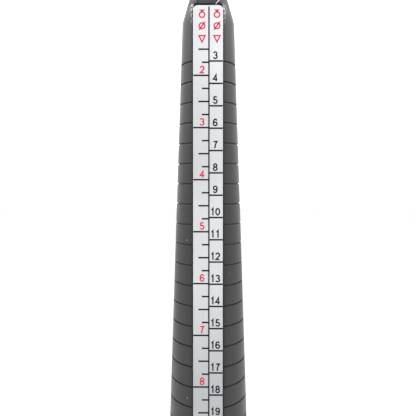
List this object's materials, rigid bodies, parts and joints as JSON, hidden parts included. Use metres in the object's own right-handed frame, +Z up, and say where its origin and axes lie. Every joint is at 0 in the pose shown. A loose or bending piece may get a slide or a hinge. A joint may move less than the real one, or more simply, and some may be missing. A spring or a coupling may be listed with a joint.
{
  "type": "ring sizer stick",
  "caption": "Tapered ring sizing mandrel with sizing grooves, flat printed scale strips front and back, and a fluted handle with a flat base.",
  "frame": {"origin": "centre of the flat base of the end cap, where the stick stands on a bench", "axes": "+Z up the stick from the handle to the tip; -Y out of the front scale strip; +X to the right of someone reading the front strip"},
  "size_m": [0.0274, 0.0274, 0.2547],
  "materials": {
    "mandrel_plastic": "satin black",
    "strip_metal": "brushed along its length, printed",
    "tape": "adhesive foam film",
    "plug_plastic": "matt black",
    "handle_plastic": "satin black",
    "screw_steel": "zinc plated"
  },
  "bodies": {
    "root": {"mandrel_shell": "mandrel_plastic", "front_scale_strip": "strip_metal", "front_strip_tape": "tape", "rear_scale_strip": "strip_metal", "rear_strip_tape": "tape", "tail_plug": "plug_plastic", "handle_sleeve": "handle_plastic", "handle_screw": "screw_steel", "screw_washer": "screw_steel", "end_cap": "handle_plastic"}
  },
  "joints": []
}
